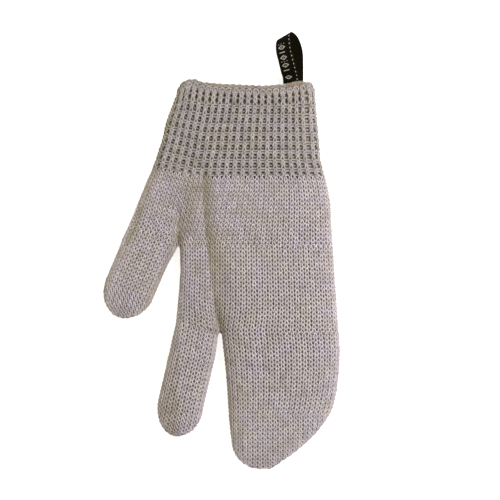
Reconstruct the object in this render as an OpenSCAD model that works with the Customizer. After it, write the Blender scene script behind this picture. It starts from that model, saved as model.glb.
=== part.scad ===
// Knitted cut resistant glove, lying flat: cuff towards +Y, finger tips towards -Y, +Z up.
// One sleeve for the thumb, one for the index finger and one pouch for the other three fingers.

/* [Fabric] */
// Thickness of the knitted fabric
wall = 2.2; // [1.8:0.1:2.4]
// Gap between two sections that meet on a course line
seam_gap = 0.1; // [0.05:0.05:0.2]

/* [Cuff] */
// Course line where the cuff ends in its bound-off rim
rim_y = 80.5; // [76:0.5:84]
// Height of the bound-off rim
rim_height = 2.5; // [2:0.5:3]
// How far the rim stands proud of the cuff
rim_proud = 0.4; // [0.2:0.1:0.6]
// Number of elastic threads laid inside the cuff
elastic_count = 5; // [3:1:7]
// Thickness of an elastic thread
elastic_thick = 0.7; // [0.5:0.1:0.9]

/* [Hand] */
// Course line where the cuff meets the hand
wrist_y = 37; // [34:1:40]
// Length of the soft zone that bends at the wrist
wrist_zone = 12; // [12:1:14]
// Thickness of the hand where it lies highest
hand_thick = 17; // [16:0.5:18]
// Thickness of the cuff at its rim
rim_thick = 13.5; // [13:0.5:14.5]
// Depth of the fold between the index finger and the pouch, as a share of the height
fold_depth = 0.34; // [0.2:0.02:0.4]

/* [Thumb] */
// Length of the thumb from the crotch to its tip
thumb_length = 45; // [43:1:48]
// Half width of the thumb at its root
thumb_half_width = 13.6; // [13:0.2:13.6]
// Thickness of the thumb
thumb_thick = 14; // [13:0.5:14.5]
// Angle of the thumb away from the hand
thumb_angle = 23; // [21:1:25]

/* [Index finger] */
// Length of the index finger from the crotch to its tip
index_length = 56.5; // [54:0.5:60]
// Half width of the index finger
index_half_width = 11.5; // [11:0.1:11.5]
// Thickness of the index finger
index_thick = 13; // [12:0.5:13.5]
// Angle of the index finger away from the pouch
index_angle = 13; // [12:1:15]

/* [Pouch] */
// Course line of the pouch tip
pouch_tip_y = -109.5; // [-112:0.5:-109]
// Right hand edge of the pouch, where it is widest
pouch_right = 59.25; // [58:0.25:60]

/* [Hang loop] */
// Width of the woven tape
tape_width = 8; // [7:0.5:9]
// Thickness of the woven tape
tape_thick = 0.8; // [0.6:0.1:0.9]
// Number of pale stitches along one edge of the tape
edge_stitches = 20; // [12:1:24]
// Number of pale diamonds woven down the middle of the tape
motifs = 6; // [4:1:8]

/* [Hidden] */

knit_colour = [0.66, 0.62, 0.61];
tape_colour = [0.09, 0.085, 0.05];
pale_colour = [0.78, 0.76, 0.68];
tack_colour = [0.48, 0.42, 0.32];

waist = 0.42;          // height of the widest line, as a share of the thickness
crown = 2.5;           // exponent of the crowned top
crease_width = 2.6;    // how fast a crease fades to each side
edge_round = 0.8;      // exponent that crowds a ring's points towards its side edges
tip_taper = 0.6;       // exponent of the rounded finger tips, seen from above
tip_shut = 0.45;       // exponent of the closing finger tips, seen from the side
crotch_depth = 0.94;   // depth of a crease where it reaches its crotch, as a share of the height
back_depth = 0.9;      // the same on the flat underside
hand_facets = 48;
pouch_facets = 32;
sleeve_facets = 24;
thread_lift = 0.02;    // how far the pale threads lie above the tape
thread_thick = 0.2;
tack_radius = 0.35;

thumb_crotch = [-21.7, 2.5];
index_crotch = [-0.7, -40.5];

// Where each sleeve bends: the soft zones from the crotch, and the hinge in the middle of each.
thumb_zones = [[0, 12], [18, 32]];
index_zones = [[0, 14], [24, 40]];
pouch_zones = [[0, 18], [28, 46]];

// Outlines of the hand against the course line's own y, as [y, x].
left_edge = [
    [thumb_crotch.y, -46.7], [12, -43.4], [25, -39], [37, -34.6], [50, -30.4], [60, -28.2],
    [75, -23.8], [83, -20.6],
];
right_edge = [
    [-50, pouch_right], [-20, 57], [2, 55.5], [24, 54.2], [33, 52.6], [38, 51], [46, 49.2],
    [60, 48.2], [76, 47], [83, 45.4],
];
palm_left_edge = [[index_crotch.y, -23.1], [-26, -21.9], [-12, -20.9], [thumb_crotch.y, -21.2]];
thickness = [
    [-92, hand_thick - 2], [-60, hand_thick], [-10, hand_thick], [20, hand_thick - 0.5],
    [wrist_y, hand_thick - 2], [60, rim_thick + 0.5], [83, rim_thick],
];
// Outline of the pouch, as [y, x].
pouch_tip_start = -95;
pouch_left_edge = [[pouch_tip_start, 4.7], [-86, 3.6], [-72, 2.7], [-60, 1.9], [index_crotch.y, -0.3]];
pouch_corner = [55.4, -79];
pouch_tip_x = 20;

function clamp01(t) = min(1, max(0, t));
function smooth(t) = let (c = clamp01(t)) c * c * (3 - 2 * c);
function mix(a, b, t) = a + (b - a) * t;
function sign_power(v, p) = sign(v) * pow(abs(v), p);
function top_shape(u) = pow(max(0, 1 - pow(abs(u), crown)), 1 / crown);

// Course lines of the hand bend up at the thumb side and, near the rim, a little at the other side.
function lift(y) =
    lookup(y, [[index_crotch.y, 5.2], [2.4, 0], [thumb_crotch.y, 10.6], [wrist_y, 5.3], [83, 2.5]]);
function kink(y) =
    lookup(y, [
        [index_crotch.y, index_crotch.x], [2.4, -6],
        [thumb_crotch.y, thumb_crotch.x], [wrist_y, -13], [83, -5],
    ]);
function right_lift(y) = lookup(y, [[60, 0], [83, 2]]);

function plan_y(x, y, left, right) =
    y + lift(y) * max(0, (kink(y) - x) / (kink(y) - left))
      + right_lift(y) * clamp01((x - 20) / (right - 20));

// Creases run up the hand from both crotches.
function thumb_crease(x, y) =
    (y < thumb_crotch.y ? 0 : crotch_depth * smooth(1 - (y - thumb_crotch.y) / 28))
    * exp(-abs(x - thumb_crotch.x) / crease_width);
function index_crease(x, y) =
    let (
        at = lookup(y, [[index_crotch.y, index_crotch.x], [-25, -3.7], [-8, -5.9], [12, -8.2], [30, -9.2]]),
        up = fold_depth * smooth((58 - y) / 30),
        down = (crotch_depth - fold_depth) * smooth((-22 - y) / 18.5)
    )
    (up + down) * exp(-abs(x - at) / (crease_width + 1.2 * smooth((y - index_crotch.y) / 25)));
function back_crease(x, y) =
    back_depth * (
        (y < thumb_crotch.y ? 0 : smooth(1 - (y - thumb_crotch.y) / 12)) * exp(-abs(x - thumb_crotch.x) / crease_width)
        + smooth((-28.5 - y) / 12) * exp(-abs(x - index_crotch.x) / crease_width)
    );

// Half a turn over the top, from the left edge to the right one, then back along the flat underside.
function ring_angles(count) = [for (i = [0 : count]) 180 - 180 * i / count];
function under_points(left, right, low, middle) =
    let (reach = min(0.45 * (right - left), 1.5 * (middle - low)))
    concat(
        [for (a = [20 : 17.5 : 90]) [right - reach * (1 - cos(a)), middle - (middle - low) * sin(a)]],
        [for (a = [90 : -17.5 : 20]) [left + reach * (1 - cos(a)), middle - (middle - low) * sin(a)]]
    );

function plain_ring(left, right, low, middle, high, count) =
    concat(
        [
            for (a = ring_angles(count))
                let (u = sign_power(cos(a), edge_round))
                [(left + right) / 2 + (right - left) / 2 * u, middle + (high - middle) * top_shape(u)]
        ],
        under_points(left, right, low, middle)
    );

// One course of the hand, from its outline at y. inset moves it into the fabric.
function hand_top(x, y, left, right) =
    let (
        high = lookup(y, thickness),
        u = (x - (left + right) / 2) / ((right - left) / 2)
    )
    waist * high + (1 - waist) * high * top_shape(u) * (1 - thumb_crease(x, y) - index_crease(x, y));

function hand_ring(y, inset, palm) =
    let (
        left = lookup(y, palm ? palm_left_edge : left_edge),
        right = lookup(y, right_edge),
        high = lookup(y, thickness),
        middle = waist * high,
        l = left + inset,
        r = right - inset,
        flat = plain_ring(l, r, max(inset, 0), middle, high - inset, hand_facets)
    )
    [
        for (i = [0 : len(flat) - 1])
            let (
                x = flat[i].x,
                top = min(flat[i].y, max(middle - 2, hand_top(x, y, left, right) - 1.25 * inset)),
                bottom = flat[i].y + (middle - flat[i].y) * back_crease(x, y)
            )
            [x, plan_y(x, y, left, right), inset < 0 ? flat[i].y : (i <= hand_facets ? top : bottom)]
    ];

// A finger sleeve: rings square to its axis. The tip closes over its last stretch.
function sleeve_ring(s, inset, base, angle, half_width, thick, length, tip) =
    let (
        t = clamp01((s - (length - tip)) / (tip - inset)),
        close = pow(max(0, 1 - t * t), tip_taper),
        shut = pow(max(0, 1 - t * t), tip_shut),
        half = max(0.6, (half_width - inset) * close),
        middle = waist * thick,
        flat = plain_ring(
            -half, half,
            middle - max(0.5, (middle - inset) * shut),
            middle,
            middle + max(0.5, (thick - middle - inset) * shut),
            sleeve_facets
        )
    )
    [
        for (p = flat)
            [
                base.x + p.x * cos(angle) - s * sin(angle),
                base.y - p.x * sin(angle) - s * cos(angle),
                p.y,
            ]
    ];

thumb_base = [
    thumb_crotch.x - thumb_half_width * cos(thumb_angle),
    thumb_crotch.y + thumb_half_width * sin(thumb_angle),
];
index_base = [
    index_crotch.x - index_half_width * cos(index_angle) - 0.15,
    index_crotch.y + index_half_width * sin(index_angle),
];
thumb_tip_length = 16;
index_tip_length = 15;

function thumb_ring(s, inset) =
    sleeve_ring(s, inset, thumb_base, thumb_angle,
        mix(thumb_half_width, thumb_half_width - 0.9, smooth(s / 14)),
        thumb_thick, thumb_length, thumb_tip_length);
function index_ring(s, inset) =
    sleeve_ring(s, inset, index_base, index_angle,
        index_half_width - 0.25, index_thick, index_length, index_tip_length);

// The pouch narrows to a slanting end. s counts from the crotch towards the tip.
function pouch_corner_x(y) =
    let (
        down = (pouch_corner.y - y) / (pouch_corner.y - pouch_tip_y),
        slant = mix(pouch_corner.x, pouch_tip_x + 3, down)
    )
    slant + 2.2 * sin(180 * clamp01(down));
function pouch_ring(s, inset) =
    let (
        y = index_crotch.y - s,
        end = pouch_tip_y + inset,
        t = clamp01((pouch_tip_start - y) / (pouch_tip_start - end)),
        left = y > pouch_tip_start
            ? lookup(y, pouch_left_edge) + inset
            : mix(pouch_tip_x, lookup(pouch_tip_start, pouch_left_edge) + inset, sqrt(max(0, 1 - t * t))),
        straight = lookup(y, concat([[pouch_corner.y, pouch_corner.x], [-70, 57.4], [-60, 58.5]], right_edge)),
        right = y > pouch_corner.y ? straight - inset : max(left + 2, pouch_corner_x(y) - 1.35 * inset),
        rise = clamp01((-82 - y) / (-82 - end)),
        shut = pow(max(0, 1 - rise * rise), tip_shut),
        high = lookup(y, thickness),
        middle = waist * high,
        flat = plain_ring(left, right, middle - max(0.5, (middle - inset) * shut), middle,
            middle + max(0.5, (high - middle - inset) * shut), pouch_facets)
    )
    [for (p = flat) [p.x, y, p.y]];

// Skins a row of rings. A cyclic row is a tube with an inside; the other kind is capped at both ends.
module skin(rings, cyclic) {
    n = len(rings[0]);
    count = len(rings);
    sides = [
        for (i = [0 : cyclic ? count - 1 : count - 2]) for (k = [0 : n - 1])
            let (
                a = i * n + k,
                b = i * n + (k + 1) % n,
                c = ((i + 1) % count) * n + (k + 1) % n,
                d = ((i + 1) % count) * n + k
            )
            each [[a, b, c], [a, c, d]]
    ];
    caps = cyclic ? [] : [
        [for (k = [n - 1 : -1 : 0]) k],
        [for (k = [0 : n - 1]) (count - 1) * n + k],
    ];
    polyhedron(points = [for (r = rings) each r], faces = concat(sides, caps), convexity = 6);
}

function reversed(list) = [for (i = [len(list) - 1 : -1 : 0]) list[i]];

// An open section of the hand between two course lines.
module hand_section(from, to, steps, palm) {
    ys = [for (i = [0 : steps]) mix(from, to, i / steps)];
    outer = [for (y = ys) hand_ring(y, 0, palm)];
    inner = [for (y = reversed(ys)) hand_ring(y, wall, palm)];
    skin(concat(outer, inner), true);
}

module thumb_section(from, to, steps) {
    at = [for (i = [0 : steps]) mix(from, to, i / steps)];
    skin(concat([for (s = at) thumb_ring(s, 0)], [for (s = reversed(at)) thumb_ring(s, wall)]), true);
}

module index_section(from, to, steps) {
    at = [for (i = [0 : steps]) mix(from, to, i / steps)];
    skin(concat([for (s = at) index_ring(s, 0)], [for (s = reversed(at)) index_ring(s, wall)]), true);
}

module pouch_section(from, to, steps) {
    at = [for (i = [0 : steps]) mix(from, to, i / steps)];
    skin(concat([for (s = at) pouch_ring(s, 0)], [for (s = reversed(at)) pouch_ring(s, wall)]), true);
}

// Stations that crowd together towards the tip.
function tip_stations(from, to, steps) = [for (i = [0 : steps]) mix(from, to, sin(90 * i / steps))];

module cuff() {
    color(knit_colour) hand_section(wrist_y + seam_gap, rim_y - seam_gap, 9, false);
}

module cuff_rim() {
    ys = [rim_y, rim_y + rim_height / 2, rim_y + rim_height];
    proud = [0, rim_proud, 0];
    outer = [for (i = [0 : 2]) hand_ring(ys[i], -proud[i], false)];
    inner = [for (i = [2 : -1 : 0]) hand_ring(ys[i], wall - proud[i] / 2, false)];
    color(knit_colour) skin(concat(outer, inner), true);
}

module cuff_elastics() {
    pitch = (rim_y - wrist_y - 4) / elastic_count;
    color(pale_colour)
        for (i = [0 : elastic_count - 1]) {
            y = wrist_y + 4 + (i + 0.5) * pitch;
            outside = wall + seam_gap;
            inside = outside + elastic_thick;
            skin([
                hand_ring(y, outside, false),
                hand_ring(y + elastic_thick, outside, false),
                hand_ring(y + elastic_thick, inside, false),
                hand_ring(y, inside, false),
            ], true);
        }
}

module wrist() {
    color(knit_colour) hand_section(wrist_y - wrist_zone, wrist_y, 3, false);
}

module lower_palm() {
    color(knit_colour)
        hand_section(thumb_crotch.y, wrist_y - wrist_zone - seam_gap, 5, false);
}

module upper_palm() {
    color(knit_colour) hand_section(index_crotch.y, thumb_crotch.y - seam_gap, 8, true);
}

module thumb_knuckle() {
    color(knit_colour) thumb_section(seam_gap, thumb_zones[0][1] - seam_gap, 3);
}

module thumb_lower() {
    color(knit_colour) thumb_section(thumb_zones[0][1], thumb_zones[1][0] - seam_gap, 2);
}

module thumb_joint() {
    color(knit_colour) thumb_section(thumb_zones[1][0], thumb_zones[1][1] - seam_gap, 3);
}

module thumb_tip() {
    start = thumb_zones[1][1];
    color(knit_colour)
        skin(concat(
            [for (s = reversed(tip_stations(start, thumb_length - wall, 8))) thumb_ring(s, wall)],
            [for (s = tip_stations(start, thumb_length, 8)) thumb_ring(s, 0)]
        ), false);
}

module index_knuckle() {
    color(knit_colour) index_section(seam_gap, index_zones[0][1] - seam_gap, 2);
}

module index_lower() {
    color(knit_colour) index_section(index_zones[0][1], index_zones[1][0] - seam_gap, 2);
}

module index_joint() {
    color(knit_colour) index_section(index_zones[1][0], index_zones[1][1] - seam_gap, 2);
}

module index_tip() {
    start = index_zones[1][1];
    color(knit_colour)
        skin(concat(
            [for (s = reversed(tip_stations(start, index_length - wall, 9))) index_ring(s, wall)],
            [for (s = tip_stations(start, index_length, 9)) index_ring(s, 0)]
        ), false);
}

module pouch_knuckle() {
    color(knit_colour) pouch_section(seam_gap, pouch_zones[0][1] - seam_gap, 3);
}

module pouch_lower() {
    color(knit_colour) pouch_section(pouch_zones[0][1], pouch_zones[1][0] - seam_gap, 2);
}

module pouch_joint() {
    color(knit_colour) pouch_section(pouch_zones[1][0], pouch_zones[1][1] - seam_gap, 4);
}

module pouch_tip() {
    start = pouch_zones[1][1];
    length = index_crotch.y - pouch_tip_y;
    color(knit_colour)
        skin(concat(
            [for (s = reversed(tip_stations(start, length - wall, 10))) pouch_ring(s, wall)],
            [for (s = tip_stations(start, length, 10)) pouch_ring(s, 0)]
        ), false);
}

// The tape's middle line, up its front leg, over the fold and down its back leg, with the
// direction across the tape at each point.
tape_path = [
    [34.6, 87.4, 6], [33.7, 90, 8.2], [32.4, 95, 9.8], [31.2, 100, 9.5], [31, 104, 8],
    [32.2, 107.2, 5], [35.4, 104.6, 2.3], [36.8, 100, 0.9], [37.2, 95, 0.6], [37.2, 91, 1.4],
    [37.1, 87.4, 4.4],
];
tape_across = [
    [1, 0.12, 0], [0.97, 0.24, 0], [0.97, 0.25, 0], [0.95, 0.3, -0.2], [0.9, 0.4, -0.2], [0.87, 0.48, 0],
    [0.97, 0.2, 0], [1, 0.04, 0], [1, 0, 0], [1, 0, 0], [1, 0, 0],
];
hinge_y = 86.8;

function unit(v) = v / norm(v);
function tape_at(table, t) =
    let (i = min(len(table) - 2, floor(t)), f = t - i)
    mix(table[i], table[i + 1], f);
function tape_along(t) = unit(tape_at(tape_path, min(t + 0.3, len(tape_path) - 1)) - tape_at(tape_path, max(0, t - 0.3)));
function tape_side(t) =
    let (w = tape_at(tape_across, t), d = tape_along(t))
    unit(w - (w * d) * d);
function tape_normal(t) = cross(tape_side(t), tape_along(t));

// A flat bar lying on the tape: u across it, v above its outer face.
function bar_ring(t, u, half, low, high) =
    let (p = tape_at(tape_path, t), w = tape_side(t), n = tape_normal(t))
    [
        p + w * (u - half) + n * high, p + w * (u + half) + n * high,
        p + w * (u + half) + n * low, p + w * (u - half) + n * low,
    ];

module hang_loop() {
    steps = 44;
    last = len(tape_path) - 1;
    color(tape_colour)
        skin([
            for (i = [0 : steps])
                bar_ring(last * i / steps, 0, tape_width / 2, -tape_thick / 2, tape_thick / 2)
        ], false);
}

module loop_edge_stitches() {
    last = len(tape_path) - 1;
    pitch = last / edge_stitches;
    low = tape_thick / 2 + thread_lift;
    color(pale_colour)
        for (i = [0 : edge_stitches - 1]) {
            t = (i + 0.25) * pitch;
            skin([
                for (f = [0, 0.5])
                    bar_ring(t + f * pitch, tape_width / 2 - 0.8, thread_thick, low, low + thread_thick)
            ], false);
        }
}

module loop_motifs() {
    low = tape_thick / 2 + thread_lift;
    color(pale_colour)
        for (i = [0 : motifs - 1]) {
            t = 0.45 + i * 0.62;
            skin([
                for (f = [[-0.16, 0.15], [0, 1.1], [0.16, 0.15]])
                    bar_ring(t + f[0], -1, f[1], low, low + thread_thick)
            ], false);
        }
}

// The sewn-down ends of the tape, inside the cuff mouth.
tail_bottom = 70;
tail_gap = 1.4;
module loop_tails() {
    color(tape_colour)
        for (end = [tape_path[0], tape_path[len(tape_path) - 1]])
            translate([end.x - tape_width / 2, tail_bottom, end.z - tape_thick / 2])
                cube([tape_width, hinge_y - tail_gap - tail_bottom, tape_thick]);
}

// Thread that goes through both tails, the front of the cuff and its rim.
tack_bottom = 3.7;
module loop_tack() {
    color(tack_colour)
        for (y = [79, 83]) for (x = [34.2 : 1.5 : 38.7]) {
            top = hand_top(x, y, lookup(y, left_edge), lookup(y, right_edge)) + (y > rim_y ? rim_proud : 0);
            translate([x, y, tack_bottom])
                cylinder(h = top + 0.2 - tack_bottom, r = tack_radius, $fn = 24);
        }
}

cuff();
cuff_rim();
cuff_elastics();
wrist();
lower_palm();
upper_palm();
thumb_knuckle();
thumb_lower();
thumb_joint();
thumb_tip();
index_knuckle();
index_lower();
index_joint();
index_tip();
pouch_knuckle();
pouch_lower();
pouch_joint();
pouch_tip();
hang_loop();
loop_tails();
loop_tack();
loop_edge_stitches();
loop_motifs();
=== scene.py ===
"""The look of a knitted cut resistant glove: each course of the knitting is one yarn, laid loop by loop."""

import math

import bpy
import numpy as np
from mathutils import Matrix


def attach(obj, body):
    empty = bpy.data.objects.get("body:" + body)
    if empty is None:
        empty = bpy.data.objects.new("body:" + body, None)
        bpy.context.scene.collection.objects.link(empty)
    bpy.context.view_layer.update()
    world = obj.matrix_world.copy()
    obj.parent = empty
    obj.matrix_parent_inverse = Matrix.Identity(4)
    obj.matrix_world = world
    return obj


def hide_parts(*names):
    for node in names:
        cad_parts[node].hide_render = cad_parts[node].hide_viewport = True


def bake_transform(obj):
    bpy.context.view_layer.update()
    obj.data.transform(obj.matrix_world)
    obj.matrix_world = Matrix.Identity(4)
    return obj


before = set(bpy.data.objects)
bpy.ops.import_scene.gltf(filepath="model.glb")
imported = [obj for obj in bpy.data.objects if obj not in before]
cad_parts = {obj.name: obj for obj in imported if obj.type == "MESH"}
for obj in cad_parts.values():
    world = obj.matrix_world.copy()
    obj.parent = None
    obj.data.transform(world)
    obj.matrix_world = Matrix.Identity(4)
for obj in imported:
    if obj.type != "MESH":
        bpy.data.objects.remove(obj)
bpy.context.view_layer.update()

MM = 0.001
rng = np.random.default_rng(11)

# Sizes in millimetres, in the part's own frame: +Y towards the cuff opening, -Y towards the tips.
YARN = 0.46  # radius of the yarn
FULL_WALE = 2.95  # the yarn is drawn thinner where the wales are narrower than this
LOOP_DEPTH = 0.42  # how far a loop's legs stand in front of its middle
SINK = YARN + LOOP_DEPTH  # the yarn's middle lies this far inside the glove's outline
BACKING_SINK = 2.15  # the inside face of the fabric, a sheet coloured as painted shade, lies this far inside the outline
BACKING_THICK = 0.4
TUBE_SIDES = 6
COURSE = 2.15  # height of a course of plain knit
WAFFLE_COURSE = 2.225
# The ladder down the cuff, where the front and the back of the knitting meet.
LADDER_X, LADDER_GAP, LADDER_EASE = 41.4, 1.1, 2.5
WAIST = 0.42  # height of the widest line, as a share of the thickness
CROWN = 2.5  # exponent of the crowned top
UNDERSIDE = 3.6  # exponent of the flat underside
HAND_THICK = 17.0
RIM_THICK = 13.5
RIM_Y, WRIST_Y = 80.9, 37.0
WRIST_END = 25.0
WRIST_KINK = -13  # the courses bend here at the wrist
THUMB_CROTCH = (-21.7, 2.5)
INDEX_CROTCH = (-0.7, -40.5)
THUMB_ANGLE, INDEX_ANGLE = math.radians(23), math.radians(13)
THUMB_HALF, INDEX_HALF = 13.6, 11.5
THUMB_THICK, INDEX_THICK = 14, 13
THUMB_LENGTH, INDEX_LENGTH = 45.0, 56.5
THUMB_TIP, INDEX_TIP = 16.0, 15.0
POUCH_TIP = -109.5
THUMB_ZONES = (0, 12, 18, 32, THUMB_LENGTH)
INDEX_ZONES = (0, 14, 24, 40, INDEX_LENGTH)
POUCH_ZONES = (0, 18, 28, 46, INDEX_CROTCH[1] - POUCH_TIP)
CUFF_COLUMNS = 22
LOWER_WALES = (11, 8, 21)  # above the thumb, above the index finger and above the pouch
UPPER_WALES = (9, 23)
THUMB_WALES, INDEX_WALES, POUCH_WALES = 14, 11, 23

# Outlines of the hand, as (y, x).
CUFF_END = 83
LEFT_EDGE = ((THUMB_CROTCH[1], -46.7), (12, -43.4), (25, -39), (37, -34.6), (50, -30.4), (60, -28.2),
             (75, -23.8), (CUFF_END, -20.6))
RIGHT_EDGE = ((-50, 59.7), (-20, 57.6), (2, 56.1), (24, 54.9), (33, 53.4), (38, 51.8), (46, 49.9),
              (60, 48.7), (76, 47.3), (CUFF_END, 46))
PALM_LEFT = ((INDEX_CROTCH[1], -23.1), (-26, -21.9), (-12, -20.9), (THUMB_CROTCH[1], -21.2))
THICKNESS = ((-92, HAND_THICK - 2), (-60, HAND_THICK), (-10, HAND_THICK), (20, HAND_THICK - 0.5),
             (WRIST_Y, HAND_THICK - 2), (60, RIM_THICK + 0.5), (CUFF_END, RIM_THICK))
POUCH_ROUND = -95.0
POUCH_LEFT = ((POUCH_ROUND, 4.7), (-86, 3.6), (-72, 2.7), (-60, 1.9), (INDEX_CROTCH[1], -0.3))
POUCH_RIGHT = ((-79, 56), (-70, 58.1), (-60, 59.2), (-50, 59.7), (-40, 59.1))
FOLD_LINE = ((INDEX_CROTCH[1], INDEX_CROTCH[0]), (-25, -3.7), (-8, -5.9), (12, -8.2), (30, -9.2))
# How far the rim stands up, as (x, height).
RIM_LIFT = ((-21.5, 0.2), (-19.9, 2.1), (-17, 3.5), (-13, 3.6), (-10, 2.0), (0, 1.0), (21, 0), (34, 1),
            (38, 2.1), (44.5, 2.3), (46.5, 0.2))
POUCH_CORNER = (56.0, -79.0)
POUCH_TIP_X = 20.0
POUCH_SHUT = -82  # the pouch grows thinner from here to its tip
SPREAD = 72  # points along the front of a ring, and along its back
STEP_ASIDE = 0.2  # courses to a ring's neighbours, which give the surface its direction


def lookup(y, table):
    return np.interp(y, [row[0] for row in table], [row[1] for row in table])


def smooth(t):
    t = np.clip(t, 0, 1)
    return t * t * (3 - 2 * t)


def crowned(u, power):
    return np.maximum(0, 1 - np.abs(u) ** power) ** (1 / power)


ARC = np.linspace(math.pi, 0, SPREAD)
ACROSS = np.sign(np.cos(ARC)) * np.abs(np.cos(ARC)) ** 0.85


class Ring:
    """One closed line round the glove: along the front from left to right, then back underneath."""

    def __init__(self, front, back):
        self.points = np.concatenate([front, back[1:]])
        steps = np.linalg.norm(np.diff(self.points, axis=0), axis=1)
        self.arc = np.concatenate([[0], np.cumsum(steps)])
        self.front, self.back = front, back
        self.right = self.arc[len(front) - 1]
        self.length = self.arc[-1]

    def at(self, arc):
        arc = np.mod(arc, self.length)
        return np.stack([np.interp(arc, self.arc, self.points[:, k]) for k in range(3)], -1)

    def arc_at_x(self, x, on_front):
        n = len(self.front)
        if on_front:
            return np.interp(x, self.front[:, 0], self.arc[:n])
        return np.interp(-x, -self.back[:, 0], self.arc[n - 1:])


def uncreased(_):
    """The depth of the crease in a section that has none."""
    return 0


def section(left, right, low, middle, high, front_crease=uncreased, back_crease=uncreased):
    """x and z of a ring's front and back."""
    centre, half = (left + right) / 2, (right - left) / 2
    x = centre + half * ACROSS
    front = middle + (high - middle) * crowned(ACROSS, CROWN) * (1 - front_crease(x))
    back = middle - (middle - low) * crowned(ACROSS, UNDERSIDE) * (1 - back_crease(x))
    return x, front, x[::-1], back[::-1]


def hand_ring(y, sink, palm):
    left, right = lookup(y, PALM_LEFT if palm else LEFT_EDGE), lookup(y, RIGHT_EDGE)
    high = lookup(y, THICKNESS)
    middle = WAIST * high
    fold_x = lookup(y, FOLD_LINE)
    fold = 0.24 * smooth((56 - y) / 24) + 0.7 * smooth((-22 - y) / 18.5)
    fold_power = 1 - 0.2 * smooth((-24 - y) / 16)
    above_thumb = y - THUMB_CROTCH[1]
    thumb = 0 if palm else 0.94 * smooth(1 - above_thumb / 28)
    back_thumb = 0 if palm else 0.9 * smooth(1 - above_thumb / 12)
    back_fold = 0.9 * smooth((-28.5 - y) / 12)

    def front_crease(x):
        from_thumb, from_fold = x - THUMB_CROTCH[0], x - fold_x
        off_thumb = np.abs(from_thumb)
        thumb_dip = np.where(from_thumb > 0, (off_thumb / 5.0) ** 0.8, off_thumb / 2.5)
        off_fold = np.hypot(from_fold, 0.5) - 0.5
        fold_dip = np.where(from_fold > 0, (off_fold / 5.2) ** fold_power, off_fold / 2.2)
        return np.minimum(0.95, thumb * np.exp(-thumb_dip) + fold * np.exp(-fold_dip))

    def back_crease(x):
        return (back_thumb * np.exp(-np.abs(x - THUMB_CROTCH[0]) / 2.5)
                + back_fold * np.exp(-np.abs(x - INDEX_CROTCH[0]) / 2.5))

    xf, zf, xb, zb = section(left + sink, right - sink, sink, middle, high - sink, front_crease, back_crease)
    if palm:
        lift = lookup(y, ((INDEX_CROTCH[1], 5.2), (2.4, 0)))
        kink = lookup(y, ((INDEX_CROTCH[1], INDEX_CROTCH[0]), (2.4, -6)))
    else:
        lift = lookup(y, ((THUMB_CROTCH[1], 10.6), (WRIST_Y, 5.3), (CUFF_END, 2.5)))
        kink = lookup(y, ((THUMB_CROTCH[1], THUMB_CROTCH[0]), (WRIST_Y, WRIST_KINK), (CUFF_END, -5)))
    near_rim = smooth((y - 62) / 17)

    def plan_y(x):
        bent = lift * np.maximum(0, (kink - x) / (kink - left))
        return y + (1 - near_rim) * bent + near_rim * lookup(x, RIM_LIFT)

    return Ring(np.stack([xf, plan_y(xf), zf], -1), np.stack([xb, plan_y(xb), zb], -1))


def sleeve_shape(s, sink, half_width, length, tip):
    """Half width and the share of the thickness left at a distance s along a sleeve."""
    t = np.clip((s - (length - tip)) / (tip - sink), 0, 1)
    return (half_width - sink) * np.maximum(0, 1 - t * t) ** 0.54, np.maximum(0, 1 - t * t) ** 0.32


def sleeve_ring(s, sink, base, angle, half_width, thick, length, tip, shift):
    half, shut = sleeve_shape(s, sink, half_width, length, tip)
    half = max(0.5, float(half))
    middle = WAIST * thick
    xf, zf, xb, zb = section(-half, half, middle - max(0.4, (middle - sink) * shut), middle,
                             middle + max(0.4, (thick - middle - sink) * shut))

    def place(x, z):
        x = x + shift
        return np.stack([base[0] + x * math.cos(angle) - s * math.sin(angle),
                         base[1] - x * math.sin(angle) - s * math.cos(angle), z], -1)

    return Ring(place(xf, zf), place(xb, zb))


THUMB_BASE = (THUMB_CROTCH[0] - THUMB_HALF * math.cos(THUMB_ANGLE),
              THUMB_CROTCH[1] + THUMB_HALF * math.sin(THUMB_ANGLE))
INDEX_BASE = (INDEX_CROTCH[0] - INDEX_HALF * math.cos(INDEX_ANGLE) - 0.15,
              INDEX_CROTCH[1] + INDEX_HALF * math.sin(INDEX_ANGLE))


def thumb_ring(s, sink):
    thick = THUMB_THICK + 0.8 * (1 - smooth(s / 10))
    outward = 0.45 * smooth(s / 10)
    half = THUMB_HALF - 0.9 * smooth(s / 14) + outward
    return sleeve_ring(s, sink, THUMB_BASE, THUMB_ANGLE, half, thick, THUMB_LENGTH, THUMB_TIP, -outward)


def index_ring(s, sink):
    thick = INDEX_THICK + 1.6 * (1 - smooth(s / 12))
    inward = 0.55 * smooth(s / 16) + 0.5 * smooth((s - 35) / 20)
    half = INDEX_HALF - 0.25 + 0.55 * smooth(s / 16)
    return sleeve_ring(s, sink, INDEX_BASE, INDEX_ANGLE, half, thick, INDEX_LENGTH, INDEX_TIP, inward)


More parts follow.
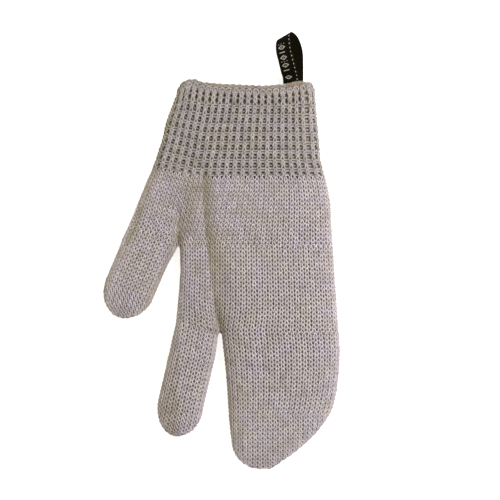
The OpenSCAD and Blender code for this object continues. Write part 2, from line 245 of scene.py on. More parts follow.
def pouch_ring(s, sink):
    y = INDEX_CROTCH[1] - s
    end = POUCH_TIP + sink
    t = np.clip((POUCH_ROUND - y) / (POUCH_ROUND - end), 0, 1)
    left = lookup(y, POUCH_LEFT) + sink
    left = POUCH_TIP_X - 0.4 - (POUCH_TIP_X - 0.4 - left) * math.sqrt(max(0, 1 - t * t))
    down = np.clip((POUCH_CORNER[1] - y) / (POUCH_CORNER[1] - POUCH_TIP), 0, 1)
    bulge = 4.6 * math.sin(math.pi * down) ** 0.8
    slant = POUCH_CORNER[0] + (POUCH_TIP_X + 4 - POUCH_CORNER[0]) * down + bulge
    right = lookup(y, POUCH_RIGHT) - sink if y > POUCH_CORNER[1] else max(left + 1.2, slant - 1.35 * sink)
    rise = np.clip((POUCH_SHUT - y) / (POUCH_SHUT - end), 0, 1)
    shut = max(0, 1 - rise * rise) ** 0.32
    high = lookup(y, THICKNESS)
    middle = WAIST * high
    xf, zf, xb, zb = section(left, right, middle - max(0.4, (middle - sink) * shut), middle,
                             middle + max(0.4, (high - middle - sink) * shut))
    ys = np.full(SPREAD, y)
    return Ring(np.stack([xf, ys, zf], -1), np.stack([xb, ys, zb], -1))


class Region:
    """A stretch of knitting: ring(place, sink) gives its rings, and course c lies at place_of(c)."""

    def __init__(self, ring, place_of, cells, courses):
        self.ring, self.place_of, self.cells, self.courses = ring, place_of, cells, courses

    def rings(self, c, sink=SINK):
        """The ring at course c, between the rings a little before and after it."""
        return tuple(self.ring(self.place_of(c + shift), sink) for shift in (-STEP_ASIDE, 0, STEP_ASIDE))


def even_cells(counts, kinks=()):
    """Cells shared out evenly along the front and the back, in groups divided at the kinks."""

    def cells(c, region):
        xs = [kink(region.place_of(c)) for kink in kinks]

        def edges(ring):
            front = [0] + [ring.arc_at_x(x, True) for x in xs] + [ring.right]
            back = [ring.right] + [ring.arc_at_x(x, False) for x in xs[::-1]] + [ring.length]
            row = [np.linspace(a, b, n + 1)[:-1] for a, b, n in zip(front, front[1:], counts)]
            row += [np.linspace(a, b, n + 1)[:-1] for a, b, n in zip(back, back[1:], counts[::-1])]
            return np.concatenate(row + [[ring.length]])
        return edges
    return cells


def straight_cells(count, axis):
    """Wales run straight on from the course where a tip begins to narrow, and end at its edge."""

    def cells(c, region):
        if c <= region.narrowing:
            return even_cells((count,))(c, region)
        start, here = region.rings(region.narrowing)[1], region.rings(c)[1]
        pitch = start.right / count
        x0, x = axis(region.place_of(region.narrowing)), axis(region.place_of(c))
        refs = (start.arc_at_x(x0, True) / pitch, (start.arc_at_x(x0, False) - start.right) / pitch)
        keep = []
        for side, ref in zip((True, False), refs):
            lo, hi = (0, here.right) if side else (here.right, here.length)
            at = here.arc_at_x(x, side)
            inside = (lo + 0.55 * pitch, hi - 0.55 * pitch)
            keep.append([k for k in range(count + 1) if inside[0] < at + (k - ref) * pitch < inside[1]])

        def edges(ring):
            row = []
            for side, ref, ks in zip((True, False), refs, keep):
                lo, hi = (0, ring.right) if side else (ring.right, ring.length)
                at = ring.arc_at_x(x, side)
                inner = np.array([at + (k - ref) * pitch for k in ks])
                row.append(np.concatenate([[lo], np.clip(inner, lo + 0.2, hi - 0.2)]))
            return np.concatenate(row + [[ring.length]])
        return edges
    return cells


def along_meridian(widths, length, sink):
    """Course number to distance along a sleeve, with courses evenly spaced over its rounded tip."""
    s = np.linspace(0, length - sink - 0.02, 600)
    half, height = widths(s)
    slope = np.sqrt(np.diff(s) ** 2 + 0.5 * np.diff(half) ** 2 + 0.5 * np.diff(height) ** 2)
    run = np.concatenate([[0], np.cumsum(slope)])
    courses = int(round(run[-1] / COURSE - 0.5))
    pitch = run[-1] / (courses + 0.5)

    def place_of(c):
        return float(np.interp((c + 0.5) * pitch, run, s)) if c > -0.5 else (c + 0.5) * pitch
    return place_of, courses


def thumb_widths(s):
    half, shut = sleeve_shape(s, SINK, THUMB_HALF - 0.9, THUMB_LENGTH, THUMB_TIP)
    return half, 8.1 * shut


def index_widths(s):
    half, shut = sleeve_shape(s, SINK, INDEX_HALF - 0.25, INDEX_LENGTH, INDEX_TIP)
    return half, 7.5 * shut


def pouch_widths(s):
    y = INDEX_CROTCH[1] - s
    rise = np.clip((POUCH_SHUT - y) / (POUCH_SHUT - POUCH_TIP - SINK), 0, 1)
    return np.zeros_like(s), 9 * np.maximum(0, 1 - rise * rise) ** 0.32


def spaced(start, end, courses):
    return lambda c: start + (end - start) * c / courses


def thumb_kink(y):
    return lookup(y, ((THUMB_CROTCH[1], THUMB_CROTCH[0]), (WRIST_Y, WRIST_KINK)))


def index_kink(y):
    share = LOWER_WALES[1] / (LOWER_WALES[1] + LOWER_WALES[2])
    even = WRIST_KINK + share * (lookup(WRIST_Y, RIGHT_EDGE) - WRIST_KINK)
    return lookup(y, ((THUMB_CROTCH[1], INDEX_CROTCH[0]), (WRIST_Y, even)))


def sleeve_region(ring, widths, base_x, angle, length, wales, narrow_at):
    place, count = along_meridian(widths, length, SINK)
    region = Region(ring, place, straight_cells(wales, lambda s: base_x - s * math.sin(angle)), count)
    region.narrowing = next(c for c in range(count) if place(c) > narrow_at)
    return region


def whole_hand(y, sink):
    return hand_ring(y, sink, False)


def palm_only(y, sink):
    return hand_ring(y, sink, True)


HALF_COURSE = 1.1
CUFF_FIRST = 78.0  # the cuff's first course
cuff = Region(whole_hand, lambda c: CUFF_FIRST - WAFFLE_COURSE * c, even_cells((CUFF_COLUMNS,)), 19)
lower = Region(whole_hand, spaced(WRIST_Y - HALF_COURSE, THUMB_CROTCH[1] + HALF_COURSE, 15),
               even_cells(LOWER_WALES, (thumb_kink, index_kink)), 16)
upper = Region(palm_only, spaced(THUMB_CROTCH[1] - HALF_COURSE, INDEX_CROTCH[1] + HALF_COURSE, 19),
               even_cells(UPPER_WALES, (lambda y: INDEX_CROTCH[0],)), 20)
thumb = sleeve_region(thumb_ring, thumb_widths, THUMB_BASE[0], THUMB_ANGLE, THUMB_LENGTH, THUMB_WALES,
                      THUMB_LENGTH - THUMB_TIP)
index = sleeve_region(index_ring, index_widths, INDEX_BASE[0], INDEX_ANGLE, INDEX_LENGTH, INDEX_WALES,
                      INDEX_LENGTH - INDEX_TIP)
pouch = sleeve_region(pouch_ring, pouch_widths, POUCH_TIP_X, 0, INDEX_CROTCH[1] - POUCH_TIP, POUCH_WALES,
                      INDEX_CROTCH[1] - POUCH_CORNER[1])


def painted_shade(points):
    """How much olive shade is painted on the knit where less light falls: along the long fold, in the
    crotches and down the flanks.
    """
    x, y, z = points.T
    off = x - lookup(y, FOLD_LINE)
    reach = 7 + 6 * smooth((8 - y) / 16)
    band = smooth(off / 0.7 + 0.5) * np.clip(1 - off / reach, 0, 1) ** 0.8 * smooth((46 - y) / 14)
    band = band * (0.85 + 0.4 * smooth((y + 12) / 20)) * (0.75 + 0.25 * smooth((y + 36) / 12))
    valley = 0.6 * np.exp(-((x - thumb_kink(y) - 1) / 4.5) ** 2) * smooth((y - 2) / 6) * smooth((40 - y) / 10)
    crotches = sum(np.exp(-((x - cx) ** 2 + 0.35 * (y - cy - 2.5) ** 2) / 9)
                   for cx, cy in (THUMB_CROTCH, INDEX_CROTCH))
    left = np.where(y > THUMB_CROTCH[1], lookup(y, LEFT_EDGE), lookup(y, PALM_LEFT))
    left = np.where((y < INDEX_CROTCH[1]) & (x > 0), lookup(y, POUCH_LEFT), left)
    flank = smooth((3.4 - (x - left)) / 3.4) * (x > left - 2)
    on_thumb = (y < THUMB_CROTCH[1]) & (x < THUMB_CROTCH[0])
    across = (x - THUMB_BASE[0]) * math.cos(THUMB_ANGLE) - (y - THUMB_BASE[1]) * math.sin(THUMB_ANGLE)
    flank = np.where(on_thumb, 0.8 * smooth((-9 - across) / 4) + 0.7 * smooth((across - 8) / 4), flank)
    return np.clip(np.maximum(band + valley + 0.8 * crotches, 0.8 * flank), 0, 1) * (z > 3)


class Yarns:
    """Collects tubes and sheets into one mesh."""

    def __init__(self):
        self.points, self.quads, self.uvs, self.tones, self.slots, self.shades = [], [], [], [], [], []
        self.count = 0

    def add(self, points, quads, uv, tone, slot):
        self.points.append(points)
        self.quads.append(quads + self.count)
        self.uvs.append(uv)
        self.tones.append(tone)
        # painted olive shade for each point, kept in the shade attribute
        self.shades.append(painted_shade(points))
        self.slots.append(np.full(len(quads), slot))
        self.count += len(points)

    def tube(self, path, normals, radius, tone, closed=True, slot=0):
        """Yarn along a path. An open one is capped at both ends."""
        n, sides = len(path), TUBE_SIDES
        if closed:
            tangent = np.roll(path, -1, 0) - np.roll(path, 1, 0)
        else:
            tangent = np.gradient(path, axis=0)
        tangent /= np.maximum(np.linalg.norm(tangent, axis=1, keepdims=True), 1e-9)
        side = np.cross(tangent, normals)
        side /= np.maximum(np.linalg.norm(side, axis=1, keepdims=True), 1e-9)
        up = np.cross(side, tangent)
        angle = np.arange(sides) * 2 * math.pi / sides
        radius = np.broadcast_to(radius, (n,))[:, None, None]
        cos, sin = np.cos(angle)[None, :, None], np.sin(angle)[None, :, None]
        ring = path[:, None] + radius * (cos * up[:, None] + sin * side[:, None])
        rows = n if closed else n - 1
        i, k = np.meshgrid(np.arange(rows), np.arange(sides), indexing="ij")
        j, l = (i + 1) % n, (k + 1) % sides
        corners = [i * sides + l, j * sides + l, j * sides + k, i * sides + k]
        quads = np.stack(corners, -1).reshape(-1, 4)
        run = np.concatenate([[0], np.cumsum(np.linalg.norm(np.diff(path, axis=0), axis=1))])
        u = np.repeat(run, sides)
        v = np.tile(np.arange(sides) / sides, n)
        if not closed:
            middle = np.stack([path[0], path[-1]])
            ring = np.concatenate([ring.reshape(-1, 3), middle])
            first, last = n * sides, n * sides + 1
            half = np.arange(0, sides, 2)
            near = np.stack([np.full(len(half), first), half, (half + 1) % sides, (half + 2) % sides], -1)
            base = (n - 1) * sides
            far = np.stack([np.full(len(half), last), base + (half + 2) % sides,
                            base + (half + 1) % sides, base + half], -1)
            quads = np.concatenate([quads, near, far])
            u, v = np.concatenate([u, [0, run[-1]]]), np.concatenate([v, [0.5, 0.5]])
            tones = np.concatenate([np.repeat(tone, sides), tone[[0, -1]]])
        else:
            ring = ring.reshape(-1, 3)
            tones = np.repeat(tone, sides)
        self.add(ring, quads, np.stack([u, v], -1), tones, slot)

    def grid(self, rows, slot):
        """A skin over rows of points, each row a loop."""
        m, n = rows.shape[:2]
        i, k = np.meshgrid(np.arange(m - 1), np.arange(n), indexing="ij")
        l = (k + 1) % n
        quads = np.stack([i * n + k, (i + 1) * n + k, (i + 1) * n + l, i * n + l], -1).reshape(-1, 4)
        u, v = np.meshgrid(np.arange(m) / m, np.arange(n) / n, indexing="ij")
        self.add(rows.reshape(-1, 3), quads, np.stack([u.ravel(), v.ravel()], -1), np.zeros(m * n), slot)

    def build(self, name, materials):
        points = np.concatenate(self.points) * MM
        quads = np.concatenate(self.quads)
        mesh = bpy.data.meshes.new(name)
        mesh.vertices.add(len(points))
        mesh.vertices.foreach_set("co", points.astype(np.float32).ravel())
        mesh.loops.add(quads.size)
        mesh.loops.foreach_set("vertex_index", quads.astype(np.int32).ravel())
        mesh.polygons.add(len(quads))
        mesh.polygons.foreach_set("loop_start", np.arange(0, quads.size, 4, dtype=np.int32))
        mesh.polygons.foreach_set("loop_total", np.full(len(quads), 4, np.int32))
        mesh.polygons.foreach_set("use_smooth", np.ones(len(quads), bool))
        mesh.polygons.foreach_set("material_index", np.concatenate(self.slots).astype(np.int32))
        layer = mesh.uv_layers.new(name="yarn")
        layer.data.foreach_set("uv", np.concatenate(self.uvs)[quads.ravel()].astype(np.float32).ravel())
        tone = mesh.attributes.new("tone", "FLOAT", "POINT")
        tone.data.foreach_set("value", np.concatenate(self.tones).astype(np.float32))
        shade = mesh.attributes.new("shade", "FLOAT", "POINT")
        shade.data.foreach_set("value", np.concatenate(self.shades).astype(np.float32))
        mesh.update(calc_edges=True)
        mesh.validate()
        for material in materials:
            mesh.materials.append(material)
        obj = bpy.data.objects.new(name, mesh)
        bpy.context.scene.collection.objects.link(obj)
        return obj


def loop_samples(count, swing, tuck, head, foot, depth, bar=0.0):
    """One loop, its head towards the tips.

    Gives the share of the cell's width, the courses towards the tips, and the height above the middle.
    """
    s = -math.pi + 2 * math.pi * np.arange(count) / count
    across = 0.5 + (s + swing * np.sin(2 * s) - tuck * np.sin(s)) / (2 * math.pi)
    rise = np.where(np.abs(s) < math.pi / 2, head * np.cos(s), foot * np.cos(s))
    height = -depth * np.cos(2 * s) + bar * smooth((np.abs(s) - 0.7 * math.pi) / (0.25 * math.pi))
    return across, rise, height


PLAIN = loop_samples(12, 1.6, 0.1, 0.8, 0.8, LOOP_DEPTH)
RIB = loop_samples(14, 1.2, 0.8, 0.88, 0.85, 0.5)
BAR_ABOVE = loop_samples(14, 1.2, 0.92, 0.88, 0.34, 0.5, 0.28)
BAR_BELOW = loop_samples(14, 1.2, 0.92, 0.88, 0.84, 0.5, 0.28)


def lay_course(yarns, region, c, samples, radius=None, wobble=0.07, sink=SINK, slot=0, thin=1, ladder=None):
    """One course of loops as a closed tube, its yarn in proportion to the wales unless a radius is given.

    A ladder is the cell from which the wales stand off to the right, leaving bare yarn across the gap.
    """
    edges = region.cells(c, region)
    across, rises, heights = samples
    count = len(across)
    path = None
    for m in range(count):
        before, ring, after = region.rings(c + rises[m], sink)
        cut = edges(ring)
        arc = cut[:-1] + (cut[1:] - cut[:-1]) * across[m]
        if ladder is not None:
            aside = np.where(np.arange(len(arc)) < ladder, -1, 1)
            away = np.maximum(0, aside * (arc - cut[ladder]))
            arc = arc + LADDER_GAP / 2 * aside * np.exp(-away / LADDER_EASE)
        here = ring.at(arc)
        step = max(0.05, 0.004 * ring.length)
        tangent = ring.at(arc + step) - ring.at(arc - step)
        share = arc / ring.length
        down = after.at(share * after.length) - before.at(share * before.length)
        out = np.cross(down, tangent)
        square = np.linalg.norm(out, axis=1) / np.maximum(np.linalg.norm(tangent, axis=1), 1e-9)
        out /= np.maximum(np.linalg.norm(out, axis=1, keepdims=True), 1e-9)
        if path is None:
            path, normal = np.empty((len(arc), count, 3)), np.empty((len(arc), count, 3))
            loose = rng.normal(0, wobble, (len(arc), 3))
            room = np.minimum(cut[1:] - cut[:-1], 1.15 * square / (2 * STEP_ASIDE))
        path[:, m] = here + out * heights[m] + loose * (0.5 - 0.5 * math.cos(2 * math.pi * (m + 0.5) / count))
        normal[:, m] = out
    tone = np.repeat(rng.normal(0, 1, len(path)), count)
    if radius is None:
        radius = np.repeat(thin * YARN * np.minimum(1, room / FULL_WALE) ** 1.6, count)
    yarns.tube(path.reshape(-1, 3), normal.reshape(-1, 3), radius, tone, slot=slot)


def lay_backing(yarns, region, start, end, sink=BACKING_SINK, slot=1):
    """The inside face of the fabric, just under the yarn, coloured dark as painted shade that shows through
    the holes between the loops.
    """
    steps = max(2, int(round((end - start) * 1.5)))
    places = [region.place_of(start + (end - start) * i / steps) for i in range(steps + 1)]
    outer = [region.ring(p, sink).points[:-1] for p in places]
    inner = [region.ring(p, sink + BACKING_THICK).points[:-1] for p in places]
    rows = outer + inner[::-1] + outer[:1]
    yarns.grid(np.array(rows)[::-1, ::2], slot)


# Materials
def new_material(name):
    material = bpy.data.materials.new(name)
    material.use_nodes = True
    nodes, links = material.node_tree.nodes, material.node_tree.links
    nodes.clear()
    out = nodes.new("ShaderNodeOutputMaterial")
    shader = nodes.new("ShaderNodeBsdfPrincipled")
    links.new(shader.outputs["BSDF"], out.inputs["Surface"])
    return material, nodes, links, shader


def math_node(nodes, links, operation, a, b=None, c=None):
    node = nodes.new("ShaderNodeMath")
    node.operation = operation
    for socket, value in zip(node.inputs, (a, b, c)):
        if value is None:
            continue
        if isinstance(value, (int, float)):
            socket.default_value = value
        else:
            links.new(value, socket)
    return node.outputs[0]


def mix_colour(nodes, links, factor, a, b, blend="MIX"):
    node = nodes.new("ShaderNodeMix")
    node.data_type = "RGBA"
    node.blend_type = blend
    for socket, value in ((node.inputs["Factor"], factor), (node.inputs[6], a), (node.inputs[7], b)):
        if isinstance(value, (int, float, tuple)):
            socket.default_value = value
        else:
            links.new(value, socket)
    return node.outputs[2]


YARN_SPREAD = 0.5  # contrast of the mixed fibres
YARN_SHEEN = 0.25
WARM, COOL = (1.0, 0.99, 0.93, 1), (1.0, 0.99, 1.04, 1)
OLIVE = (0.6, 0.57, 0.36, 1)  # the shade in folds


def yarn_material(name, light, dark, twist=1.1):
    """Twisted yarn of mixed fibres. The yarn's UV runs along it in millimetres and once round it."""
    material, nodes, links, shader = new_material(name)
    uv = nodes.new("ShaderNodeUVMap")
    uv.uv_map = "yarn"
    split = nodes.new("ShaderNodeSeparateXYZ")
    links.new(uv.outputs["UV"], split.inputs[0])
    along, around = split.outputs[0], split.outputs[1]
    turn = math_node(nodes, links, "MULTIPLY_ADD", along, twist, around)
    ply = math_node(nodes, links, "SINE", math_node(nodes, links, "MULTIPLY", turn, 4 * math.pi))
    coords = nodes.new("ShaderNodeTexCoord")
    fibre = nodes.new("ShaderNodeTexNoise")
    fibre.inputs["Scale"].default_value = 2600
    fibre.inputs["Detail"].default_value = 3
    links.new(coords.outputs["Object"], fibre.inputs["Vector"])
    patch = nodes.new("ShaderNodeTexNoise")
    patch.inputs["Scale"].default_value = 520
    patch.inputs["Detail"].default_value = 2
    links.new(coords.outputs["Object"], patch.inputs["Vector"])
    tone = nodes.new("ShaderNodeAttribute")
    tone.attribute_name = "tone"
    mixed = math_node(nodes, links, "MULTIPLY_ADD", ply, 0.16, fibre.outputs["Fac"])
    mixed = math_node(nodes, links, "MULTIPLY_ADD", tone.outputs["Fac"], 0.05, mixed)
    blotch = math_node(nodes, links, "SUBTRACT", patch.outputs["Fac"], 0.5)
    mixed = math_node(nodes, links, "MULTIPLY_ADD", blotch, 0.3, mixed)
    ramp = nodes.new("ShaderNodeMapRange")
    ramp.inputs["From Min"].default_value = 0.5 - YARN_SPREAD / 2
    ramp.inputs["From Max"].default_value = 0.5 + YARN_SPREAD / 2
    links.new(mixed, ramp.inputs["Value"])
    cloud = nodes.new("ShaderNodeTexNoise")
    cloud.inputs["Scale"].default_value = 95
    cloud.inputs["Detail"].default_value = 1
    links.new(coords.outputs["Object"], cloud.inputs["Vector"])
    hue = nodes.new("ShaderNodeMapRange")
    hue.inputs["From Min"].default_value = 0.38
    hue.inputs["From Max"].default_value = 0.62
    links.new(cloud.outputs["Fac"], hue.inputs["Value"])
    tint = mix_colour(nodes, links, hue.outputs[0], WARM, COOL)
    body = mix_colour(nodes, links, ramp.outputs[0], (*dark, 1), (*light, 1))
    # painted shade: the shade attribute multiplies the colour towards olive in the fold, the crotches and
    # down the flanks
    shade = nodes.new("ShaderNodeAttribute")
    shade.attribute_name = "shade"
    body = mix_colour(nodes, links, 1.0, body, tint, "MULTIPLY")
    shaded = mix_colour(nodes, links, 1.0, body, OLIVE, "MULTIPLY")
    amount = math_node(nodes, links, "MULTIPLY", shade.outputs["Fac"], 0.8)
    body = mix_colour(nodes, links, amount, body, shaded)
    links.new(body, shader.inputs["Base Color"])
    bump = nodes.new("ShaderNodeBump")
    bump.inputs["Strength"].default_value = 0.6
    bump.inputs["Distance"].default_value = 0.00012
    links.new(math_node(nodes, links, "MULTIPLY_ADD", fibre.outputs["Fac"], 0.9, ply), bump.inputs["Height"])
    links.new(bump.outputs[0], shader.inputs["Normal"])
    rough = nodes.new("ShaderNodeMapRange")
    rough.inputs["To Min"].default_value = 0.62
    rough.inputs["To Max"].default_value = 0.85
    links.new(fibre.outputs["Fac"], rough.inputs["Value"])
    links.new(rough.outputs[0], shader.inputs["Roughness"])
    shader.inputs["Specular IOR Level"].default_value = 0.35
    shader.inputs["Sheen Weight"].default_value = YARN_SHEEN
    shader.inputs["Sheen Roughness"].default_value = 0.45
    shader.inputs["Sheen Tint"].default_value = (0.95, 0.9, 1.0, 1)
    return material


def felt_material(name, light, dark):
    material, nodes, links, shader = new_material(name)
    coords = nodes.new("ShaderNodeTexCoord")
    noise = nodes.new("ShaderNodeTexNoise")
    noise.inputs["Scale"].default_value = 900
    noise.inputs["Detail"].default_value = 4
    links.new(coords.outputs["Object"], noise.inputs["Vector"])
    colour = mix_colour(nodes, links, noise.outputs["Fac"], (*dark, 1), (*light, 1))
    links.new(colour, shader.inputs["Base Color"])
    bump = nodes.new("ShaderNodeBump")
    bump.inputs["Strength"].default_value = 0.7
    bump.inputs["Distance"].default_value = 0.0003
    links.new(noise.outputs["Fac"], bump.inputs["Height"])
    links.new(bump.outputs[0], shader.inputs["Normal"])
    shader.inputs["Roughness"].default_value = 0.9
    shader.inputs["Specular IOR Level"].default_value = 0.2
    return material


def wave_along(nodes, links, place, length):
    return math_node(nodes, links, "SINE", math_node(nodes, links, "MULTIPLY", place, 2 * math.pi / length))


def tape_material():
    """Ribbed woven tape. Its UV runs along the tape and across it in millimetres."""
    material, nodes, links, shader = new_material("tape")
    uv = nodes.new("ShaderNodeUVMap")
    uv.uv_map = "yarn"
    split = nodes.new("ShaderNodeSeparateXYZ")
    links.new(uv.outputs["UV"], split.inputs[0])
    rib = wave_along(nodes, links, split.outputs[0], 0.62)
    warp = wave_along(nodes, links, split.outputs[1], 0.5)
    weave = math_node(nodes, links, "MULTIPLY_ADD", warp, 0.5, rib)
    coords = nodes.new("ShaderNodeTexCoord")
    noise = nodes.new("ShaderNodeTexNoise")
    noise.inputs["Scale"].default_value = 900
    noise.inputs["Detail"].default_value = 3
    links.new(coords.outputs["Object"], noise.inputs["Vector"])
    shade = math_node(nodes, links, "MULTIPLY_ADD", weave, 0.22, noise.outputs["Fac"])
    colour = mix_colour(nodes, links, shade, (0.0015, 0.0015, 0.0004, 1), (0.010, 0.009, 0.003, 1))
    links.new(colour, shader.inputs["Base Color"])
    bump = nodes.new("ShaderNodeBump")
    bump.inputs["Strength"].default_value = 0.6
    bump.inputs["Distance"].default_value = 0.00012
    links.new(weave, bump.inputs["Height"])
    links.new(bump.outputs[0], shader.inputs["Normal"])
    shader.inputs["Roughness"].default_value = 0.9
    shader.inputs["Specular IOR Level"].default_value = 0.03
    return material


KNIT = yarn_material("knit_yarn", (0.89, 0.82, 0.84), (0.41, 0.36, 0.325))
CUFF_YARN = yarn_material("cuff_yarn", (0.61, 0.562, 0.54), (0.25, 0.223, 0.182))
RIM_YARN = yarn_material("rim_yarn", (0.46, 0.42, 0.34), (0.26, 0.23, 0.17))
TACK_YARN = yarn_material("tan_thread", (0.42, 0.34, 0.24), (0.17, 0.13, 0.08))
PALE = yarn_material("pale_thread", (0.55, 0.53, 0.44), (0.28, 0.26, 0.20), twist=2.2)
ELASTIC = yarn_material("covered_elastic", (0.34, 0.30, 0.24), (0.12, 0.10, 0.07), twist=3.0)
# The inside faces of the knit and of the cuff: the fabric's real back side, coloured dark as painted shade in
# the holes between the loops.
INSIDE_SHADE = felt_material("knit_inside_shade", (0.42, 0.37, 0.285), (0.18, 0.15, 0.11))
CUFF_INSIDE_SHADE = felt_material("cuff_inside_shade", (0.27, 0.238, 0.16), (0.13, 0.11, 0.07))
TAPE = tape_material()


def knit_piece(name, region, start, end, node, closed=False):
    """The courses from start to end, over their backing. A closed piece is sewn shut at its tip."""
    yarns = Yarns()
    for c in range(start, end):
        lay_course(yarns, region, c, PLAIN, thin=0.82 if c > region.courses - 4 and closed else 1)
    lay_backing(yarns, region, start - 0.5, end - 0.5)
    if closed:
        close_tip(yarns, region)
    obj = yarns.build(name, [KNIT, INSIDE_SHADE])
    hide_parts(node)
    return obj


def close_tip(yarns, region):
    """Sewing over and over along the slit that is left at the end of a tip."""
    last = region.rings(region.courses)[1]
    width = last.right
    before = region.rings(region.courses - 0.5)[1]
    turns = max(3, int(width / 1.1))
    steps = 8 * turns
    phase = np.linspace(0, 2 * math.pi * turns, steps)
    share = np.linspace(0.02, 0.98, steps)
    front, back = last.at(share * width), last.at(width + (1 - share) * (last.length - width))
    middle, half_gap = (front + back) / 2, (front - back) / 2
    half_gap *= (0.55 / np.maximum(np.linalg.norm(half_gap, axis=1, keepdims=True), 0.2))
    before_back = before.at(before.right + (1 - share) * (before.length - before.right))
    out = middle - (before.at(share * before.right) + before_back) / 2
    out /= np.linalg.norm(out, axis=1, keepdims=True)
    path = middle + half_gap * np.cos(phase)[:, None] + out * (0.35 * np.sin(phase)[:, None] - 0.1)
    yarns.tube(path, out, 0.36, np.full(steps, rng.normal()), closed=False)


# The hand
first_palm = next(c for c in range(lower.courses) if lower.place_of(c) < WRIST_END)
wrist = knit_piece("wrist_knit", lower, 0, first_palm, "wrist")
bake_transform(wrist)
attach(knit_piece("lower_palm_knit", lower, first_palm, lower.courses, "lower_palm"), "hand")
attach(knit_piece("upper_palm_knit", upper, 0, upper.courses, "upper_palm"), "hand")


def along(base, angle, s):
    return ((base[0] - s * math.sin(angle)) * MM, (base[1] - s * math.cos(angle)) * MM, 0)


def sleeve(name, region, zones):
    """The four stretches of a sleeve: the lower one and the tip each ride on their own body, the knuckle and
    the joint are baked in place.
    """
    courses = range(region.courses + 1)
    cuts = [next((c for c in courses if region.place_of(c) >= z), region.courses) for z in zones[:-1]]
    cuts.append(region.courses + 1)
    parts = ("knuckle", "lower", "joint", "tip")
    for part, a, b, z0, z1 in zip(parts, cuts, cuts[1:], zones, zones[1:]):
        piece = knit_piece(f"{name}_{part}_knit", region, a, b, f"{name}_{part}", closed=part == "tip")
        if part == "knuckle":
            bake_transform(piece)
        elif part == "joint":
            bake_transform(piece)
        else:
            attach(piece, f"{name}_{part}")


sleeve("thumb", thumb, THUMB_ZONES)
sleeve("index", index, INDEX_ZONES)
sleeve("pouch", pouch, POUCH_ZONES)

# The cuff: three ribbed courses, then pairs of courses whose sinkers lie together as bars between the holes.
yarns = Yarns()
top_ring = cuff.rings(0)[1]
column_x = top_ring.at(cuff.cells(0, cuff)(top_ring)[:CUFF_COLUMNS])[:, 0]
ladder = int(np.argmin(np.abs(column_x - LADDER_X)))
for c in range(cuff.courses):
    if c < 3:
        style = RIB
    else:
        style = BAR_BELOW if c % 2 == 0 else BAR_ABOVE
    lay_course(yarns, cuff, c, style, radius=0.49, wobble=0.06, ladder=ladder)
bump_across = np.arange(8) / 8
BUMP = (bump_across, 0.12 * np.cos(4 * math.pi * bump_across),
        -1.15 + 0.3 * np.cos(math.pi * bump_across) ** 2)
for c in (1.2, 2.4, *range(4, cuff.courses, 2)):
    lay_course(yarns, cuff, c - 0.1, BUMP, radius=0.45)
lay_backing(yarns, cuff, -1.2, cuff.courses - 0.3)
cuff_piece = yarns.build("cuff_knit", [CUFF_YARN, CUFF_INSIDE_SHADE])
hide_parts("cuff")
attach(cuff_piece, "cuff")

# The rim: a round loop over every rib, under a rolled edge.
yarns = Yarns()
rim = Region(whole_hand, lambda c: RIM_Y - c, even_cells((CUFF_COLUMNS,)), 1)


def lay_rings(c, rx, ry, lift):
    """A ring of yarn on the surface at the middle of every cell."""
    turns = np.arange(14) * 2 * math.pi / 14
    here = rim.rings(c)[1]
    cells = len(rim.cells(c, rim)(here)) - 1
    paths = np.empty((cells, len(turns), 3))
    normals = np.empty_like(paths)
    for m, turn in enumerate(turns):
        before, ring, after = rim.rings(c - ry * math.cos(turn))
        cut = rim.cells(c, rim)(ring)
        arc = (cut[:-1] + cut[1:]) / 2 + rx * math.sin(turn)
        tangent = ring.at(arc + 0.2) - ring.at(arc - 0.2)
        out = np.cross(after.at(arc) - before.at(arc), tangent)
        out /= np.linalg.norm(out, axis=1, keepdims=True)
        raised = np.where(out[:, 2:] < -0.5, 0, lift)
        paths[:, m] = ring.at(arc) + out * (raised + 0.25 * math.cos(turn))
        normals[:, m] = out
    for path, normal in zip(paths, normals):
        loose = rng.normal(0, 0.05, 3)
        yarns.tube(path + loose, normal, 0.45, np.full(len(path), rng.normal()))


lay_rings(2.25, 1.3, 1.25, 0.6)
ROLL = 0.95
for angle in np.radians([150, 95, 40, -20, -75, -130]):
    wave = loop_samples(10, 0.5, 0, 0.16, 0.16, 0.1)
    wave = (wave[0], wave[1] - ROLL * math.sin(angle), wave[2] + ROLL * math.cos(angle) - 0.6)
    lay_course(yarns, rim, 0.0, wave, radius=0.5, wobble=0.05, slot=1)
lay_backing(yarns, rim, -0.6, 3.6, 2.0, slot=2)
rim_piece = yarns.build("cuff_rim_knit", [CUFF_YARN, RIM_YARN, CUFF_INSIDE_SHADE])
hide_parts("cuff_rim")
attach(rim_piece, "cuff")

# Elastic threads inside the cuff
yarns = Yarns()
FLAT = (np.arange(6) / 6, np.zeros(6), np.zeros(6))
for k in range(5):
    lay_course(yarns, cuff, 1.5 + 3.9 * k, FLAT, radius=0.3, wobble=0.03, sink=3.75)
elastics = yarns.build("cuff_elastic_threads", [ELASTIC])
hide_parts("cuff_elastics")
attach(elastics, "cuff")

